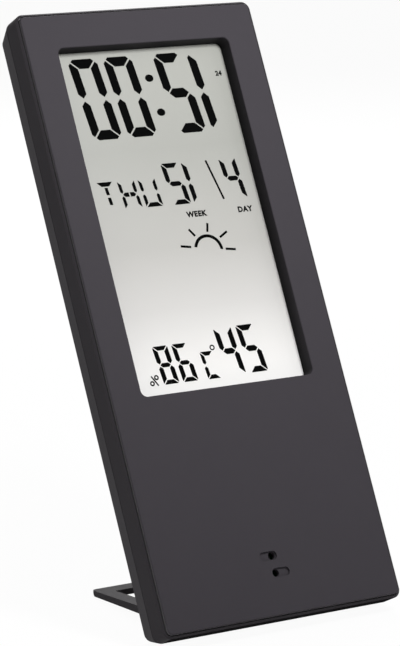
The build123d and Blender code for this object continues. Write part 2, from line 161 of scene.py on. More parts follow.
class Shader:
    """Builds one material's nodes."""

    def __init__(self, tree: bpy.types.NodeTree) -> None:
        """Start on an emptied node tree.

        Args:
            tree: The material's or world's node tree.
        """
        self.tree = tree
        tree.nodes.clear()

    @staticmethod
    def material(name: str) -> tuple[bpy.types.Material, "Shader"]:
        """A new material with an empty shader.

        Args:
            name: The material's name.

        Returns:
            The material and its shader.
        """
        made = bpy.data.materials.new(name)
        made.use_nodes = True
        return made, Shader(made.node_tree)

    def add(self, kind: str, settings: dict, sockets: dict, out: Union[int, str] = 0) -> Value:
        """Add any node.

        Args:
            kind: The node's type.
            settings: Properties that are set before its sockets.
            sockets: Input socket, by name or number, to a number, colour, vector or Value.
            out: The output socket that is returned.

        Returns:
            The chosen output.
        """
        node = self.tree.nodes.new(kind)
        for key, setting in settings.items():
            if key == "stops":
                self.set_stops(node.color_ramp, setting)
            else:
                setattr(node, key, setting)
        for key, value in sockets.items():
            if isinstance(value, Value):
                self.tree.links.new(value.socket, node.inputs[key])
            else:
                node.inputs[key].default_value = value
        return Value(self, node.outputs[out])

    @staticmethod
    def set_stops(ramp: bpy.types.ColorRamp, stops: Sequence[tuple[float, Colour]]) -> None:
        """Put a colour ramp's stops in place of its two own.

        Args:
            ramp: The ramp.
            stops: Positions with their colours, in rising order.
        """
        while len(ramp.elements) < len(stops):
            ramp.elements.new(1.0)
        for element, (place, colour) in zip(ramp.elements, stops):
            element.position = place
            element.color = paint(colour)

    def position(self) -> Value:
        """The surface point in the row frame."""
        return self.add("ShaderNodeTexCoord", {}, {}, "Object")

    def axis(self, where: Value, letter: str) -> Value:
        """The X, Y or Z of a point."""
        return self.add("ShaderNodeSeparateXYZ", {}, {0: where}, letter)

    def along(self, where: Value, way: Vector) -> Value:
        """How far along a direction a point lies."""
        sockets = {0: where, 1: way}
        return self.add("ShaderNodeVectorMath", {"operation": "DOT_PRODUCT"}, sockets, "Value")

    def noise(self, scale: float, octaves: Octaves, where: Optional[Value] = None) -> Value:
        """Fractal noise.

        Args:
            scale: Cells per metre.
            octaves: How finely it is broken up.
            where: The point, or the object coordinates.

        Returns:
            Noise from 0 to 1.
        """
        sockets = {"Vector": where or self.position(), "Scale": scale, "Detail": octaves.value}
        return self.add("ShaderNodeTexNoise", {}, sockets, "Fac")

    def blend(self, share: Value, first: object, second: object) -> Value:
        """Mix two colours.

        Args:
            share: Share of the second colour.
            first: The first colour, four channels or a Value.
            second: The second colour, the same.

        Returns:
            The mixed colour.
        """
        sockets = {0: share, 6: first, 7: second}
        return self.add("ShaderNodeMix", {"data_type": "RGBA"}, sockets, 2)

    def bump(self, height: Value, depth: float) -> Value:
        """A bump from a height.

        Args:
            height: The height, from 0 to 1.
            depth: The depth of a full step in metres.

        Returns:
            The bent normal.
        """
        return self.add("ShaderNodeBump", {}, {"Height": height, "Distance": depth})

    def surface(self, sockets: dict, painted_shade: Optional[Value] = None) -> None:
        """Close the material with a principled surface.

        Args:
            sockets: Its inputs.
            painted_shade: Share of the surface that a black matte layer covers, as painted shade.
        """
        shader = self.add("ShaderNodeBsdfPrincipled", {}, sockets)
        # A black matte layer mixed in over the surface: painted shade.
        if painted_shade is not None:
            black = self.add("ShaderNodeBsdfDiffuse", {}, {"Color": BLACK})
            shader = self.add("ShaderNodeMixShader", {}, {0: painted_shade, 1: shader, 2: black})
        self.close(shader, "ShaderNodeOutputMaterial")

    def close(self, shader: Value, kind: str) -> None:
        """Link a shader to the output of its material or world.

        Args:
            shader: The shader.
            kind: The output node's type.
        """
        node = self.tree.nodes.new(kind)
        self.tree.links.new(shader.socket, node.inputs["Surface"])


@dataclass(frozen=True)
class Face:
    """The clock's leaning face as a drawing plane.

    Args:
        origin: The middle of the case's lower edge, level with the panel's front.
        up: Direction up the face.
        out: Direction out of the face.
    """

    origin: Vector
    up: Vector
    out: Vector

    @staticmethod
    def from_frame() -> "Face":
        """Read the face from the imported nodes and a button's travel.

        Returns:
            The face.
        """
        press = next(joint for joint in frame["joints"] if joint["name"] == "mode_press")
        out = Vector(press["axis"]).normalized()
        up = out.cross(Vector((1, 0, 0)))
        low = min(vertex.co.dot(up) for vertex in frame["nodes"]["front_case"].data.vertices)
        front = max(vertex.co.dot(out) for vertex in frame["nodes"]["front_panel"].data.vertices)
        return Face(up * low + out * front, up, out)

    def depth_of(self, node: str) -> float:
        """Depth of a node's front behind the panel's front, in metres."""
        front = max(vertex.co.dot(self.out) for vertex in frame["nodes"][node].data.vertices)
        return self.origin.dot(self.out) - front

    def depth_past(self, start: float, shader: Shader, where: Value) -> Value:
        """How much deeper than a start depth a shaded point lies.

        Args:
            start: The start depth behind the panel's front, in metres.
            shader: The material's shader.
            where: The point.

        Returns:
            The depth past the start, in metres.
        """
        return self.origin.dot(self.out) - start - shader.along(where, self.out)

    def place(self, across: float, height: float, depth: float) -> Matrix:
        """Matrix that lays a flat drawing, made in millimetres, on the face.

        Args:
            across: Place across the face in millimetres.
            height: Place up the face in millimetres.
            depth: Depth behind the panel's front in metres.

        Returns:
            A matrix from the drawing's own axes to the row frame.
        """
        turn = Matrix((Vector((1, 0, 0)), self.up, self.out)).transposed().to_4x4()
        point = (self.origin + Vector((across * MM, 0, 0)) + self.up * height * MM
                 - self.out * depth)
        return Matrix.Translation(point) @ turn @ Matrix.Scale(MM, 4)


@dataclass(frozen=True)
class PrintStyle:
    """How plain printed characters are drawn.

    Args:
        capital_share: Height of a capital as a share of the font's size.
        weight: Share of a capital's height by which each outline grows.
        spacing: Distance between characters as a share of the font's own.
        curve_steps: Steps of each curve.
    """

    capital_share: float = 0.69
    weight: float = 0.07
    spacing: float = 1.12
    curve_steps: int = 3


class Bench:
    """The modeller's operations on one piece at a time."""

    ROUND_SIDES = 48
    LEVEL_NORMAL = 0.5

    @staticmethod
    def clear() -> None:
        """Leave edit mode and deselect everything."""
        if bpy.context.object and bpy.context.object.mode != "OBJECT":
            bpy.ops.object.mode_set(mode="OBJECT")
        bpy.ops.object.select_all(action="DESELECT")

    @staticmethod
    def take(piece: bpy.types.Object) -> None:
        """Select one piece alone and make it active."""
        Bench.clear()
        piece.select_set(True)
        bpy.context.view_layer.objects.active = piece

    @staticmethod
    def settle() -> bpy.types.Object:
        """Put the active piece's place and size into its mesh, and give it back."""
        bpy.ops.object.transform_apply(location=True, rotation=True, scale=True)
        return bpy.context.object

    @staticmethod
    def block(low: Sequence[float], high: Sequence[float]) -> bpy.types.Object:
        """A box between two corners.

        Args:
            low: Lowest corner.
            high: Highest corner.

        Returns:
            The box.
        """
        Bench.clear()
        middle = [(a + b) / 2 for a, b in zip(low, high)]
        size = [b - a for a, b in zip(low, high)]
        bpy.ops.mesh.primitive_cube_add(size=1, location=middle, scale=size)
        return Bench.settle()

    @staticmethod
    def disc(wide: float, tall: float, thick: float, centre: Spot) -> bpy.types.Object:
        """A flat round or oval plate that stands on the drawing plane.

        Args:
            wide: Its width.
            tall: Its height.
            thick: Its thickness.
            centre: Its centre on the plane.

        Returns:
            The plate.
        """
        Bench.clear()
        bpy.ops.mesh.primitive_cylinder_add(
            vertices=Bench.ROUND_SIDES, radius=0.5, depth=1, location=(*centre, thick / 2),
            scale=(wide, tall, thick))
        return Bench.settle()

    @staticmethod
    def ring(radius: float, stroke: float, thick: float, centre: Spot) -> bpy.types.Object:
        """A flat ring: a plate whose faces are inset, with the middle bridged open.

        Args:
            radius: Radius of the stroke's middle line.
            stroke: Width of the stroke.
            thick: Thickness.
            centre: Its centre on the plane.

        Returns:
            The ring.
        """
        outer = 2 * radius + stroke
        ring = Bench.disc(outer, outer, thick, centre)
        Bench.take(ring)
        bpy.context.tool_settings.mesh_select_mode = (False, False, True)
        for polygon in ring.data.polygons:
            polygon.select = abs(polygon.normal.z) > Bench.LEVEL_NORMAL
        bpy.ops.object.mode_set(mode="EDIT")
        bpy.ops.mesh.inset(thickness=stroke)
        bpy.ops.mesh.bridge_edge_loops()
        bpy.ops.object.mode_set(mode="OBJECT")
        return ring

    @staticmethod
    def cut(piece: bpy.types.Object, point: Sequence[float], away: Sequence[float]) -> None:
        """Cut a piece by a plane and drop what lies beyond it.

        Args:
            piece: The piece.
            point: A point on the plane.
            away: The plane's normal, towards what is dropped.
        """
        Bench.take(piece)
        bpy.ops.object.mode_set(mode="EDIT")
        bpy.ops.mesh.select_all(action="SELECT")
        bpy.ops.mesh.bisect(plane_co=point, plane_no=away, use_fill=True, clear_outer=True)
        bpy.ops.object.mode_set(mode="OBJECT")

    @staticmethod
    def copy(piece: bpy.types.Object) -> bpy.types.Object:
        """A copy of a piece with its own mesh."""
        Bench.take(piece)
        bpy.ops.object.duplicate()
        return bpy.context.object

    @staticmethod
    def pair(piece: bpy.types.Object, step: Spot) -> list[bpy.types.Object]:
        """A piece and its copy, a step away on the drawing plane."""
        other = Bench.copy(piece)
        other.data.transform(Matrix.Translation((*step, 0)))
        return [piece, other]

    @staticmethod
    def join(parts: Sequence[bpy.types.Object]) -> bpy.types.Object:
        """Join parts into one piece.

        Args:
            parts: The parts.

        Returns:
            The joined piece.
        """
        Bench.take(parts[0])
        for part in parts:
            part.select_set(True)
        if len(parts) > 1:
            bpy.ops.object.join()
        return bpy.context.object

    @staticmethod
    def text(words: str, height: float, thick: float, style: PrintStyle) -> bpy.types.Object:
        """Plain printed characters, made a mesh, from their lower left corner.

        Args:
            words: The characters.
            height: Height of a capital.
            thick: Thickness of the print.
            style: How they are drawn.

        Returns:
            The print.
        """
        Bench.clear()
        bpy.ops.object.text_add()
        text = bpy.context.object
        text.data.body = words
        text.data.size = height / style.capital_share
        text.data.extrude = thick / 2
        text.data.offset = height * style.weight
        text.data.space_character = style.spacing
        text.data.resolution_u = style.curve_steps
        bpy.ops.object.convert(target="MESH")
        text = bpy.context.object
        text.data.transform(Matrix.Translation((0, 0, thick / 2)))
        return text

    @staticmethod
    def finish(piece: bpy.types.Object, name: str, place: Matrix, material: bpy.types.Material,
               slot: str, body: str = HOUSING) -> None:
        """Name a piece, put its place in its mesh, dress it and let it ride.

        Args:
            piece: The piece.
            name: Its name.
            place: Matrix from its own axes to the row frame.
            material: Its material.
            slot: The record's material slot; not used.
            body: The body that it moves with.
        """
        piece.name = name
        piece.data.name = name
        piece.data.transform(place)
        piece.data.update()
        Bench.dress(piece, material)
        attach(piece, body)
        log.info("%s: %d faces, rides on %s", name, len(piece.data.polygons), body)

    @staticmethod
    def dress(piece: bpy.types.Object, material: bpy.types.Material) -> None:
        """Give a piece one material in place of what it has."""
        piece.data.materials.clear()
        piece.data.materials.append(material)


@dataclass(frozen=True)
class MouldedPlastic:
    """Matte moulded plastic with a fine spark-eroded grain.

    Args:
        name: Material name.
        colour: Base colour.
        roughness: Middle roughness.
        specular: Strength of its surface reflection.
        mottle: Share by which the colour wanders.
        cloud_scale: Broad cells of that wandering per metre.
        cloud_share: Their part in it.
        patch_scale: Its smaller cells per metre.
        grain: Depth of the grain in metres.
        grain_scale: Grains per metre.
        grain_share: The grains' part in the relief, where the rest is pores.
        pore_size: Size of a pore in grains.
        cloud_swing: Swing of the roughness with the broad cells.
        pore_swing: Swing of the roughness with the pores.
        recess_shade: Painted shade: share by which the colour darkens at the foot of the face's pockets.
        recess_start: Depth at which the darkening starts, in metres.
        recess_edge: Depth over which its first part sets in, in metres.
        recess_edge_share: The first part's share.
        recess_depth: Depth over which the rest sets in, in metres.
        recess_half_width: Half the width of the strip of the face that darkens.
        recess_low: Height above the table at which that strip starts, in metres.
        groove: Painted light: share by which the colour lightens in the groove round the panel, against its shade.
        groove_light_colour: The painted light's colour.
        groove_depths: Depths between which the groove lies, in metres.
        groove_insets: Distances from the case's outline between which it lies, in metres.
        outline_corner: Corner radius of that outline, in metres.
        end: Painted shade: share of black on the case's lower end face.
        end_reach: Height up the face below which a surface counts as that face, in metres.
    """

    name: str
    colour: Colour
    roughness: float = 0.5
    specular: float = 0.1
    mottle: float = 0.06
    cloud_scale: float = 70.0
    cloud_share: float = 0.6
    patch_scale: float = 420.0
    grain: float = 0.00002
    grain_scale: float = 9000.0
    grain_share: float = 0.6
    pore_size: float = 3.0
    cloud_swing: float = 0.1
    pore_swing: float = 0.16
    recess_shade: float = 0.0
    recess_start: float = 0.00012
    recess_edge: float = 0.00015
    recess_edge_share: float = 0.5
    recess_depth: float = 0.0038
    recess_half_width: float = 0.027
    recess_low: float = 0.04
    groove: float = 0.0
    groove_light_colour: Colour = (0.15, 0.145, 0.152)
    groove_depths: tuple[float, float] = (0.0003, 0.0016)
    groove_insets: tuple[float, float] = (0.00047, 0.0009)
    outline_corner: float = 0.002
    end: float = 0.0
    end_reach: float = 0.00006

    def paint_recess_shade(self, shader: Shader, colour: Value) -> Value:
        """Paint shade: darken the colour below the face's surface.

        Args:
            shader: The material's shader.
            colour: The colour so far.

        Returns:
            The darkened colour.
        """
        where = shader.position()
        depth = Face.from_frame().depth_past(self.recess_start, shader, where)
        shade = ((depth / self.recess_edge).clamped() * self.recess_edge_share
                 + (depth / self.recess_depth).clamped() * (1 - self.recess_edge_share))
        inside = shader.axis(where, "X").between(-self.recess_half_width, self.recess_half_width)
        above = shader.axis(where, "Z").above(self.recess_low)
        # Painted shade, deeper with depth below the face, in the strip of the window's pocket.
        return shader.blend(shade * inside * above * self.recess_shade, colour, BLACK)

    def paint_groove_light(self, shader: Shader, colour: Value) -> Value:
        """Paint light into the groove round the panel, lightening the colour against its shade.

        It follows the case's rounded outline, and the corners' centres give its inset there.

        Args:
            shader: The material's shader.
            colour: The colour so far.

        Returns:
            The changed colour.
        """
        face = Face.from_frame()
        case = [vertex.co for vertex in frame["nodes"]["front_case"].data.vertices]
        half = max(point.x for point in case)
        low, high = face.origin.dot(face.up), max(point.dot(face.up) for point in case)
        corner = self.outline_corner
        where = shader.position()
        beside = shader.axis(where, "X").past(half - corner)
        height = shader.along(where, face.up) - (low + high) / 2
        beyond = height.past((high - low) / 2 - corner)
        inset = corner - (beside * beside + beyond * beyond) ** 0.5
        depth = face.depth_past(0.0, shader, where)
        groove = inset.between(*self.groove_insets) * depth.between(*self.groove_depths)
        # Painted light: the colour is lightened inside the groove's band.
        return shader.blend(groove * self.groove, colour, paint(self.groove_light_colour))

    def lower_end_shade(self, shader: Shader) -> Value:
        """Painted shade: share of black on the surface, which only the case's lower end face has."""
        face = Face.from_frame()
        height = shader.along(shader.position(), face.up)
        return height.below(face.origin.dot(face.up) + self.end_reach) * self.end

    def make(self) -> bpy.types.Material:
        """Build the material.

        Returns:
            The material.
        """
        made, shader = Shader.material(self.name)
        cloud = shader.noise(self.cloud_scale, Octaves.CRISP)
        patch = shader.noise(self.patch_scale, Octaves.SOFT)
        grain = shader.noise(self.grain_scale, Octaves.SOFT)
        pores = shader.noise(self.grain_scale / self.pore_size, Octaves.CRISP)
        wander = cloud * self.cloud_share + patch * (1 - self.cloud_share)
        colour = shader.blend(wander.clamped(), paint(self.colour, 1 - self.mottle),
                              paint(self.colour, 1 + self.mottle))
        # Painted shade at the foot of the window's pocket.
        if self.recess_shade:
            colour = self.paint_recess_shade(shader, colour)
        # Painted light in the groove round the panel, against its shade.
        if self.groove:
            colour = self.paint_groove_light(shader, colour)
        rough = self.roughness + cloud.swing(self.cloud_swing) + pores.swing(self.pore_swing)
        relief = grain * self.grain_share + pores * (1 - self.grain_share)
        shader.surface({
            "Base Color": colour,
            "Roughness": rough.clamped(),
            "Specular IOR Level": self.specular,
            "Normal": shader.bump(relief, self.grain),
        # Painted shade: a black matte layer on the case's lower end face.
        }, self.lower_end_shade(shader) if self.end else None)
        return made


@dataclass(frozen=True)
class DisplayFilm:
    """Satin front film of a reflective display, painted with shade and reflection: near white at its foot, grey at
    its top.

    Args:
        name: Material name.
        painted_tones: Share of the film's height with the colour there, from its foot up: painted shade and
            reflection.
        roughness: Middle roughness.
        specular: Strength of its surface reflection.
        haze_scale: Cells of its haze per metre.
        haze_swing: Swing of the roughness with the haze.
        haze_depth: Depth of the haze's relief in metres.
    """

    name: str
    painted_tones: tuple[tuple[float, Colour], ...]
    roughness: float = 0.32
    specular: float = 0.3
    haze_scale: float = 2500.0
    haze_swing: float = 0.08
    haze_depth: float = 0.000004

    def make(self, bottom: float, top: float) -> bpy.types.Material:
        """Build the material.

        Args:
            bottom: Lowest point of the film above the table, in metres.
            top: Highest point of the film above the table, in metres.

        Returns:
            The material.
        """
        made, shader = Shader.material(self.name)
        height = shader.axis(shader.position(), "Z")
        share = ((height - bottom) / (top - bottom)).clamped()
        haze = shader.noise(self.haze_scale, Octaves.SOFT)
        shader.surface({
            # The colour by height is painted shade at the top and painted reflection at the foot.
            "Base Color": shader.add("ShaderNodeValToRGB", {"stops": self.painted_tones}, {0: share}),
            "Roughness": (self.roughness + haze.swing(self.haze_swing)).clamped(),
            "Specular IOR Level": self.specular,
            "Normal": shader.bump(haze, self.haze_depth),
        })
        return made


@dataclass(frozen=True)
class Metal:
    """Plated sheet metal with fine rolling lines.

    Args:
        name: Material name.
        colour: Base colour.
        roughness: Middle roughness.
        dull: Share of the colour that is left in a line.
        line_scale: Cells of its lines per metre.
        line_stretch: How many times as long as wide a cell is.
        line_swing: Swing of the roughness with the lines.
        line_depth: Depth of the lines in metres.
    """

    name: str
    colour: Colour
    roughness: float = 0.32
    dull: float = 0.8
    line_scale: float = 900.0
    line_stretch: float = 14.0
    line_swing: float = 0.2
    line_depth: float = 0.000004

    def make(self) -> bpy.types.Material:
        """Build the material."""
        made, shader = Shader.material(self.name)
        stretched = shader.add("ShaderNodeMapping", {}, {
            "Vector": shader.position(), "Scale": (1.0, self.line_stretch, self.line_stretch)})
        lines = shader.noise(self.line_scale, Octaves.CRISP, stretched)
        shader.surface({
            "Base Color": shader.blend(lines, paint(self.colour, self.dull), paint(self.colour)),
            "Metallic": 1.0,
            "Roughness": (self.roughness + lines.swing(self.line_swing)).clamped(),
            "Normal": shader.bump(lines, self.line_depth),
        })
        return made


@dataclass(frozen=True)
class Coating:
    """A smooth or glossy coat such as ink, lacquer, resin, rubber or glass.

    Args:
        name: Material name.
        colour: Base colour.
        roughness: Middle roughness.
        specular: Strength of its surface reflection.
        alpha: Opacity.
        speckle: Share by which the colour wanders.
        cloud_scale: Cells of that wandering per metre.
        cloud_swing: Swing of the roughness with it.
        bump: Depth of its unevenness in metres.
    """

    name: str
    colour: Colour
    roughness: float = 0.3
    specular: float = 0.5
    alpha: float = 1.0
    speckle: float = 0.08
    cloud_scale: float = 1800.0
    cloud_swing: float = 0.1
    bump: float = 0.000005

    def make(self) -> bpy.types.Material:
        """Build the material."""
        made, shader = Shader.material(self.name)
        cloud = shader.noise(self.cloud_scale, Octaves.CRISP)
        shader.surface({
            "Base Color": shader.blend(cloud, paint(self.colour, 1 - self.speckle),
                                       paint(self.colour, 1 + self.speckle)),
            "Roughness": (self.roughness + cloud.swing(self.cloud_swing)).clamped(),
            "Alpha": self.alpha,
            "Specular IOR Level": self.specular,
            "Normal": shader.bump(cloud, self.bump),
        })
        return made


class Lit(Enum):
    """Which bars of a display character are dark."""

    ZERO = "abcdef"
    ONE = "ef"
    FOUR = "bcfg"
    FIVE = "acdfg"
    SIX = "acdefg"
    EIGHT = "abcdefg"
    CEE = "adef"
    TEE = "ajk"
    AITCH = "bcefmn"
    YOU = "bcdef"


@dataclass(frozen=True)
class CharacterStyle:
    """Size of one row's characters on the display, in millimetres.

    Args:
        width: Outer width.
        height: Outer height.
        bar: Width of an upright bar.
        beam: Thickness of a level bar.
        gap: Gap between two bars.
        corner: How much of each outer corner is cut off.
    """

    width: float
    height: float
    bar: float
    beam: float
    gap: float
    corner: float


@dataclass
class SegmentCharacter:
    """One display character of mitred bars, drawn in millimetres from its lower left corner.

    Args:
        style: Its size.
        thick: Its thickness.
        tip_inset: Distance of a middle bar's tip past the upright's middle line, in gaps.
    """

    style: CharacterStyle
    thick: float
    tip_inset: float = 0.4

    def box_of(self, bar: str) -> tuple[list[float], list[float]]:
        """Corners of a bar before its ends are mitred.

        Args:
            bar: The bar's letter: a to g as on a seven-bar digit, m and n the halves of g, j and k
                the short uprights in the middle.

        Returns:
            Lowest and highest corner.
        """
        size = self.style
        wide, tall, half, gap = size.width, size.height, size.height / 2, size.gap
        beam_low, beam_high = half - size.beam / 2, half + size.beam / 2
        post_left, post_right = (wide - size.bar) / 2, (wide + size.bar) / 2
        corners = {
            "a": (0, tall - size.beam, wide, tall),
            "g": (0, beam_low, wide, beam_high),
            "d": (0, 0, wide, size.beam),
            "f": (0, half, size.bar, tall),
            "e": (0, 0, size.bar, half),
            "b": (wide - size.bar, half, wide, tall),
            "c": (wide - size.bar, 0, wide, half),
            "m": (0, beam_low, (wide - gap) / 2, beam_high),
            "n": ((wide + gap) / 2, beam_low, wide, beam_high),
            "j": (post_left, half + gap, post_right, tall - size.beam - gap),
            "k": (post_left, size.beam + gap, post_right, half - gap),
        }
        left, low, right, high = corners[bar]
        return [left, low, 0], [right, high, self.thick]

    def cuts_of(self, bar: str) -> list[tuple[Vector, Vector]]:
        """Planes that mitre a bar's ends.

        Args:
            bar: The bar's letter.

        Returns:
            Points with the normals towards the waste.
        """
        size = self.style
        wide, tall, half = size.width, size.height, size.height / 2
        cuts = []
        if bar in "ad":
            rise, edge = (1, tall) if bar == "a" else (-1, 0)
            for side, corner in ((-1, 0), (1, wide)):
                away = Vector((side, -rise, 0)).normalized()
                cuts.append((Vector((corner, edge, 0)) - away * size.gap / 2, away))
        elif bar in "gmn":
            tip = size.bar / 2 + self.tip_inset * size.gap
            for side, place in ((-1, tip), (1, wide - tip)):
                for rise in (-1, 1):
                    cuts.append((Vector((place, half, 0)), Vector((side, rise, 0))))
        elif bar in "befc":
            side = -1 if bar in "ef" else 1
            rise = 1 if bar in "bf" else -1
            centre = size.bar / 2 if side < 0 else wide - size.bar / 2
            corner = Vector((0 if side < 0 else wide, tall if rise > 0 else 0, 0))
            away = Vector((-side, rise, 0)).normalized()
            cuts.append((corner - away * size.gap / 2, away))
            for slope in (-1, 1):
                cuts.append((Vector((centre, half + rise * size.gap, 0)),
                             Vector((slope, -rise, 0))))
        return cuts

    def build(self, lit: Lit) -> bpy.types.Object:
        """Model the lit bars and cut the character's outer corners.

        Args:
            lit: The lit bars.

        Returns:
            The character as one piece.
        """
        bars = []
        for letter in lit.value:
            bar = Bench.block(*self.box_of(letter))
            for point, away in self.cuts_of(letter):
                Bench.cut(bar, point, away)
            bars.append(bar)
        character = Bench.join(bars)
        wide, tall, corner = self.style.width, self.style.height, self.style.corner
        for side, edge in ((-1, 0), (1, wide)):
            for rise, level in ((-1, 0), (1, tall)):
                point = Vector((edge - side * corner, level, 0))
                Bench.cut(character, point, Vector((side, rise, 0)))
        return character


@dataclass(frozen=True)
class Stroke:
    """A straight stroke on the display, in millimetres.

    Args:
        start: One end.
        end: The other end.
        width: Its width.
    """

    start: Spot
    end: Spot
    width: float

    def build(self, thick: float) -> bpy.types.Object:
        """Model it with a thickness."""
        along = Vector((self.end[0] - self.start[0], self.end[1] - self.start[1]))
        bar = Bench.block((0, -self.width / 2, 0), (along.length, self.width / 2, thick))
        turn = Matrix.Rotation(math.atan2(along.y, along.x), 4, "Z")
        bar.data.transform(Matrix.Translation((*self.start, 0)) @ turn)
        return bar


@dataclass(frozen=True)
class Ring:
    """A ring on the display, in millimetres.

    Args:
        radius: Radius of its stroke's middle line.
        stroke: Width of its stroke.
        centre: Its centre.
    """

    radius: float
    stroke: float
    centre: Spot

    def build(self, thick: float) -> bpy.types.Object:
        """Model it with a thickness."""
        return Bench.ring(self.radius, self.stroke, thick, self.centre)


@dataclass(frozen=True)
class Caption:
    """Printed characters on the display, in millimetres.

    Args:
        words: The characters.
        name: The piece's name.
        corner: Their lower left corner.
        height: Height of a capital.
    """

    words: str
    name: str
    corner: Spot
    height: float


@dataclass
class Display:
    """The display: its film and its dark characters.

    Places are millimetres across from the centre line and up from the case's lower edge.

    Args:
        face: The face that it lies on.
        slant: Sideways lean of the characters for each millimetre of height.
        print_thick: Thickness of every sign.
        print_style: How the captions are drawn.
        time_style: Size of the hours and minutes.
        week_style: Size of the week's number.
        date_style: Size of the day's number.
        day_style: Size of the weekday's letters.
        damp_style: Size of the humidity.
        warm_style: Size of the temperature.
        unit_style: Size of the temperature's letter.
        dot_size: Width and height of a dot of the colon.
        dot_place: The upper dot.
        dot_step: From the upper to the lower dot.
        sun: The sun's ring before its lower part is cut off.
        horizon: A point on that cut.
        down: The cut's normal, towards the part that goes.
        ray_width: Width of a ray.
        rays: The ends of each ray.
        divider: The stroke between the week and the day.
        degree: The degree ring.
        percent: The upper ring of the percent sign.
        percent_step: From the upper to the lower ring.
        percent_slash: The stroke between them.
        captions: The printed characters.
        ink: Finish of the signs.
        film: Finish of the film.
        material: The ink's material, once it is made.
    """

    face: Face
    slant: float = -0.105
    print_thick: float = 0.03
    print_style: PrintStyle = PrintStyle()
    time_style: CharacterStyle = CharacterStyle(7.35, 19.0, 2.05, 2.25, 0.35, 1.35)
    week_style: CharacterStyle = CharacterStyle(4.45, 9.7, 1.12, 1.1, 0.25, 0.4)
    date_style: CharacterStyle = CharacterStyle(4.25, 9.7, 1.12, 1.1, 0.25, 0.4)
    day_style: CharacterStyle = CharacterStyle(4.3, 6.6, 0.78, 1.0, 0.3, 0.25)
    damp_style: CharacterStyle = CharacterStyle(3.85, 8.65, 1.1, 0.98, 0.22, 0.35)
    warm_style: CharacterStyle = CharacterStyle(4.55, 10.95, 1.25, 1.32, 0.24, 0.4)
    unit_style: CharacterStyle = CharacterStyle(3.3, 6.25, 0.85, 0.95, 0.2, 0.25)
    dot_size: Spot = (2.1, 1.75)
    dot_place: Spot = (1.55, 124.45)
    dot_step: Spot = (0.88, -8.15)
    sun: Ring = Ring(3.32, 0.72, (5.85, 83.55))
    horizon: Point = (5.9, 84.0, 0)
    down: Point = (-0.16, -0.987, 0)
    ray_width: float = 0.52
    rays: tuple[tuple[Spot, Spot], ...] = (
        ((7.1, 89.75), (6.55, 87.75)), ((1.95, 88.75), (3.2, 87.1)),
        ((11.55, 87.4), (9.4, 86.2)), ((-1.1, 85.1), (1.5, 84.7)),
        ((10.15, 83.45), (12.7, 83.1)))
    divider: Stroke = Stroke((10.65, 104.2), (12.95, 94.9), 0.48)
    degree: Ring = Ring(0.5, 0.3, (0.43, 61.59))
    percent: Ring = Ring(0.42, 0.32, (-15.16, 56.57))
    percent_step: Spot = (-1.32, -1.21)
    percent_slash: Stroke = Stroke((-16.4, 57.0), (-15.05, 54.75), 0.32)
    captions: tuple[Caption, ...] = (
        Caption("24", "hours_mark", (18.95, 123.9), 1.05),
        Caption("WEEK", "week_caption", (2.45, 91.55), 1.2),
        Caption("DAY", "day_caption", (15.8, 91.55), 1.2))
    ink: Coating = Coating("display_ink", (0.003, 0.0032, 0.0032), roughness=0.6, specular=0.0)
    # The film's tones paint shade at its top and reflection at its foot.
    film: DisplayFilm = DisplayFilm("display_film", (
        (0.0, (0.96, 0.955, 0.945)), (0.1, (0.8, 0.79, 0.775)), (0.25, (0.58, 0.57, 0.555)),
        (0.42, (0.428, 0.422, 0.402)), (0.7, (0.33, 0.333, 0.31)), (1.0, (0.342, 0.346, 0.32))))
    material: Optional[bpy.types.Material] = field(default=None, init=False)

    def characters(self) -> list[tuple[Lit, CharacterStyle, dict[str, Spot]]]:
        """Every barred character from the top down: its bars, its size, its places by name."""
        hours = {"hour_tens": (-16.15, 111.0), "hour_units": (-7.2, 111.0)}
        return [
            (Lit.ZERO, self.time_style, hours),
            (Lit.FIVE, self.time_style, {"minute_tens": (5.65, 111.0)}),
            (Lit.ONE, self.time_style, {"minute_units": (14.5, 111.0)}),
            (Lit.TEE, self.day_style, {"weekday_first": (-17.7, 94.75)}),
            (Lit.AITCH, self.day_style, {"weekday_second": (-12.42, 94.75)}),
            (Lit.YOU, self.day_style, {"weekday_third": (-7.15, 94.75)}),
            (Lit.FIVE, self.week_style, {"week_tens": (-0.12, 94.65)}),
            (Lit.ONE, self.week_style, {"week_units": (5.15, 94.65)}),
            (Lit.FOUR, self.date_style, {"day_number": (15.0, 94.65)}),
            (Lit.EIGHT, self.damp_style, {"humidity_tens": (-13.62, 54.75)}),
            (Lit.SIX, self.damp_style, {"humidity_units": (-8.75, 54.75)}),
            (Lit.CEE, self.unit_style, {"degree_unit": (-2.4, 54.65)}),
            (Lit.FOUR, self.warm_style, {"temperature_tens": (2.88, 54.85)}),
            (Lit.FIVE, self.warm_style, {"temperature_units": (8.66, 54.85)}),
        ]

    def lay(self, piece: bpy.types.Object, name: str, corner: Spot = (0, 0),
            slant: float = 0) -> None:
        """Lay a sign on the film and dress it.

        Args:
            piece: The sign, drawn from its own origin.
            name: Its name.
            corner: Place of its origin on the face, in millimetres.
            slant: Sideways lean for each millimetre of height.
        """
        lean = Matrix.Identity(4)
        lean[0][1] = slant
        place = self.face.place(*corner, self.face.depth_of("display_polarizer")) @ lean
        Bench.finish(piece, name, place, self.material, "display_ink")

    def build_characters(self) -> None:
        """Model each barred character once and lay it, with a copy for each further place."""
        for lit, style, places in self.characters():
            shapes = [SegmentCharacter(style, self.print_thick).build(lit)]
            while len(shapes) < len(places):
                shapes.append(Bench.copy(shapes[0]))
            for shape, (name, corner) in zip(shapes, places.items()):
                self.lay(shape, name, corner, self.slant)

    def build_colon(self) -> None:
        """The two oval dots between the hours and the minutes."""
        dot = Bench.disc(*self.dot_size, self.print_thick, self.dot_place)
        self.lay(Bench.join(Bench.pair(dot, self.dot_step)), "time_colon")

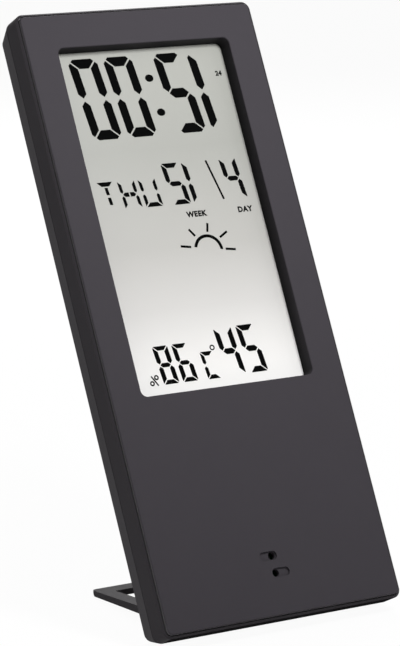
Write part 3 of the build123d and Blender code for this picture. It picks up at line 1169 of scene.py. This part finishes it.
    def build_sun(self) -> None:
        """The fair-weather sign: half a sun with five rays."""
        arc = self.sun.build(self.print_thick)
        Bench.cut(arc, self.horizon, self.down)
        rays = [Stroke(start, end, self.ray_width).build(self.print_thick)
                for start, end in self.rays]
        self.lay(Bench.join([arc, *rays]), "fair_weather_sun")

    def build_marks(self) -> None:
        """Divider, degree ring, percent sign and the small printed captions."""
        thick = self.print_thick
        self.lay(self.divider.build(thick), "date_divider")
        self.lay(self.degree.build(thick), "degree_ring")
        rings = Bench.pair(self.percent.build(thick), self.percent_step)
        self.lay(Bench.join([*rings, self.percent_slash.build(thick)]), "percent_sign")
        for caption in self.captions:
            words = Bench.text(caption.words, caption.height, thick, self.print_style)
            self.lay(words, caption.name, caption.corner)

    def dress(self) -> None:
        """Give the film its finish."""
        low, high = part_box("display_polarizer")
        Bench.dress(frame["nodes"]["display_polarizer"], self.film.make(low.z, high.z))
        log.info("display_polarizer: dressed as %s", self.film.name)

    def build(self) -> None:
        """Model every sign and dress the film."""
        self.material = self.ink.make()
        self.dress()
        self.build_characters()
        self.build_colon()
        self.build_sun()
        self.build_marks()


CASE_FINISHES = (
    # panel_plastic paints shade at the foot of the window's pocket and paints light into the groove round the
    # panel.
    MouldedPlastic("panel_plastic", (0.0465, 0.0425, 0.049), roughness=0.6, specular=0.05,
                   recess_shade=0.95, groove=1.0),
    # case_plastic paints light into the groove and paints shade, a black matte layer, on its lower end face.
    MouldedPlastic("case_plastic", (0.0335, 0.0305, 0.034), roughness=0.6, specular=0.04,
                   groove=1.0, groove_depths=(0.00058, 0.0016), end=0.9),
    MouldedPlastic("leg_plastic", (0.038, 0.035, 0.038), roughness=0.6, specular=0.04),
    MouldedPlastic("button_plastic", (0.05, 0.049, 0.052), roughness=0.4),
    MouldedPlastic("holder_plastic", (0.72, 0.72, 0.69), roughness=0.5),
    Coating("display_glass", (0.78, 0.83, 0.8), roughness=0.06, speckle=0.02, alpha=0.35),
    Metal("reflector_film", (0.8, 0.81, 0.8), roughness=0.4),
    Coating("contact_rubber", (0.09, 0.09, 0.1), roughness=0.75),
    Coating("board_laminate", (0.02, 0.16, 0.07), roughness=0.25),
    Coating("resin", (0.015, 0.015, 0.015), roughness=0.2),
    Coating("ceramic", (0.45, 0.35, 0.22), roughness=0.6),
    Metal("steel", (0.66, 0.65, 0.63)),
    Metal("screw_steel", (0.12, 0.12, 0.125), roughness=0.4),
)


@dataclass
class Casework:
    """Finishes of the construction's own pieces.

    Args:
        finishes: The finishes, each named as its material slot.
    """

    finishes: Sequence[Union[MouldedPlastic, Metal, Coating]] = CASE_FINISHES

    def dress(self) -> None:
        """Give every construction node but the display's film the finish of its slot."""
        made = {finish.name: finish.make() for finish in self.finishes}
        for part in frame["record"]["subparts"]:
            if part["material_slot"] in made:
                Bench.dress(frame["nodes"][part["node"]], made[part["material_slot"]])
                log.info("%s: dressed as %s", part["node"], part["material_slot"])


@dataclass(frozen=True)
class Lamp:
    """A soft square lamp.

    Args:
        name: Its name.
        place: Its place in metres.
        aim: The point that it shines at.
        size: Its edge in metres.
        power: Its power in watts.
    """

    name: str
    place: Point
    aim: Point
    size: float
    power: float

    def hang(self) -> None:
        """Put the lamp in the scene, out of the camera's sight."""
        data = bpy.data.lights.new(self.name, "AREA")
        data.energy = self.power
        data.size = self.size
        lamp = bpy.data.objects.new(self.name, data)
        bpy.context.scene.collection.objects.link(lamp)
        lamp.location = self.place
        lamp.visible_camera = False
        way = Vector(self.aim) - lamp.location
        lamp.rotation_euler = way.to_track_quat("-Z", "Y").to_euler()


@dataclass
class Studio:
    """Pale floor, soft lamps, white surround and the camera.

    Args:
        camera_place: The camera's place in metres.
        camera_forward: The way that it looks.
        camera_reach: Nearest and farthest distance that it shows, in metres.
        focal_mm: Its focal length.
        sensor_mm: The longer side of its sensor.
        floor_size: Edge of the floor in metres.
        floor_greys: Darkest and lightest grey of the floor.
        floor_scale: Cells of that change per metre.
        floor_glow: Share of white light in what the camera sees of the floor.
        surround: Strength of the surround's light on the clock.
        lamps: The lamps.
    """

    camera_place: Point = (-0.34167, -0.54995, 0.19419)
    camera_forward: Point = (0.5175, 0.8318, -0.2007)
    camera_reach: tuple[float, float] = (0.05, 20.0)
    focal_mm: float = 167.6
    sensor_mm: float = 36.0
    floor_size: float = 6.0
    floor_greys: tuple[float, float] = (0.88, 0.9)
    floor_scale: float = 3.0
    floor_glow: float = 0.95
    surround: float = 0.27
    lamps: tuple[Lamp, ...] = (
        Lamp("key", (0.03, -0.1454, 0.2321), (0.02, 0.0333, 0.1422), 0.05, 0.51),
        Lamp("back", (0.3, 0.6, 0.5), (0.0, 0.0, 0.06), 0.5, 5.0),
        Lamp("side", (-0.9, -0.1, 0.5), (0.0, 0.0, 0.06), 0.6, 1.2))

    @staticmethod
    def seen(shader: Shader) -> Value:
        """One for rays that show the surround: camera, glossy and transmission rays."""
        camera, glossy, through = (
            shader.add("ShaderNodeLightPath", {}, {}, ray)
            for ray in ("Is Camera Ray", "Is Glossy Ray", "Is Transmission Ray"))
        return (camera + glossy + through).clamped()

    def build_floor(self) -> None:
        """A large pale floor that looks white to the camera and still takes a soft shadow."""
        Bench.clear()
        bpy.ops.mesh.primitive_plane_add(size=self.floor_size)
        floor = bpy.context.object
        floor.name = "floor"
        made, shader = Shader.material("floor_paint")
        cloud = shader.noise(self.floor_scale, Octaves.SOFT)
        dark, light = (paint((grey, grey, grey)) for grey in self.floor_greys)
        matte = shader.add("ShaderNodeBsdfDiffuse", {}, {"Color": shader.blend(cloud, dark, light)})
        glow = shader.add("ShaderNodeEmission", {}, {"Color": WHITE, "Strength": 1.0})
        mixed = {0: self.seen(shader) * self.floor_glow, 1: matte, 2: glow}
        shader.close(shader.add("ShaderNodeMixShader", {}, mixed), "ShaderNodeOutputMaterial")
        floor.data.materials.append(made)

    def build_world(self) -> None:
        """A white surround that lights the clock softly from all sides."""
        world = bpy.data.worlds.new("studio")
        bpy.context.scene.world = world
        world.use_nodes = True
        shader = Shader(world.node_tree)
        strength = self.surround + self.seen(shader) * (1.0 - self.surround)
        back = shader.add("ShaderNodeBackground", {}, {"Color": WHITE, "Strength": strength})
        shader.close(back, "ShaderNodeOutputWorld")

    def build_camera(self) -> None:
        """The camera at the photographed angle."""
        data = bpy.data.cameras.new("camera")
        data.sensor_width = self.sensor_mm
        data.lens = self.focal_mm
        data.clip_start, data.clip_end = self.camera_reach
        camera = bpy.data.objects.new("camera", data)
        bpy.context.scene.collection.objects.link(camera)
        camera.location = self.camera_place
        camera.rotation_euler = Vector(self.camera_forward).to_track_quat("-Z", "Y").to_euler()
        bpy.context.scene.camera = camera

    def build(self) -> None:
        """Set up the whole studio."""
        self.build_floor()
        self.build_world()
        for lamp in self.lamps:
            lamp.hang()
        self.build_camera()
        bpy.context.scene.view_settings.view_transform = "Standard"


def main() -> None:
    """Dress the clock and set up its studio."""
    logging.basicConfig(level=logging.INFO, format="%(message)s")
    face = Face.from_frame()
    Casework().dress()
    Display(face).build()
    Studio().build()
    Bench.clear()


if __name__ == "__main__":
    main()
